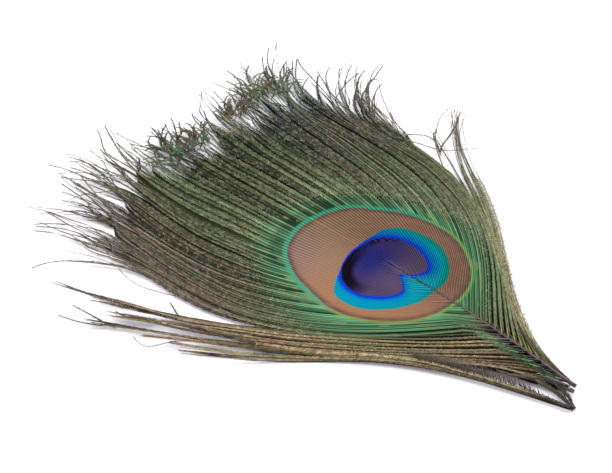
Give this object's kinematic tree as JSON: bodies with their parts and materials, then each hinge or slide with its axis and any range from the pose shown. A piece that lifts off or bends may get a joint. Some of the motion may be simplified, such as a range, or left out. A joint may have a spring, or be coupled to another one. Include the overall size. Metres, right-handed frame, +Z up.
{
  "type": "peacock feather",
  "caption": "Cut eye end of a peacock's train feather lying face up: a slender shaft and two spreading vanes of loose barbs around a round eye pattern.",
  "frame": {"origin": "centre of the part's bounding box, on the surface the feather lies on", "axes": "+Z up, out of the coloured face; +Y along the shaft, from its cut end towards the feather's tip; +X towards the right vane"},
  "size_m": [0.1188, 0.1492, 0.0068],
  "materials": {
    "shaft_keratin": "dark purple-brown horn, smooth and slightly glossy, with a paler cut end",
    "vane_barbs": "iridescent barbs: violet heart, blue, turquoise, bronze and green rings, olive and bronze outer barbs"
  },
  "bodies": {
    "root": {"shaft": "shaft_keratin", "left_vane": "vane_barbs", "right_vane": "vane_barbs"}
  },
  "joints": []
}
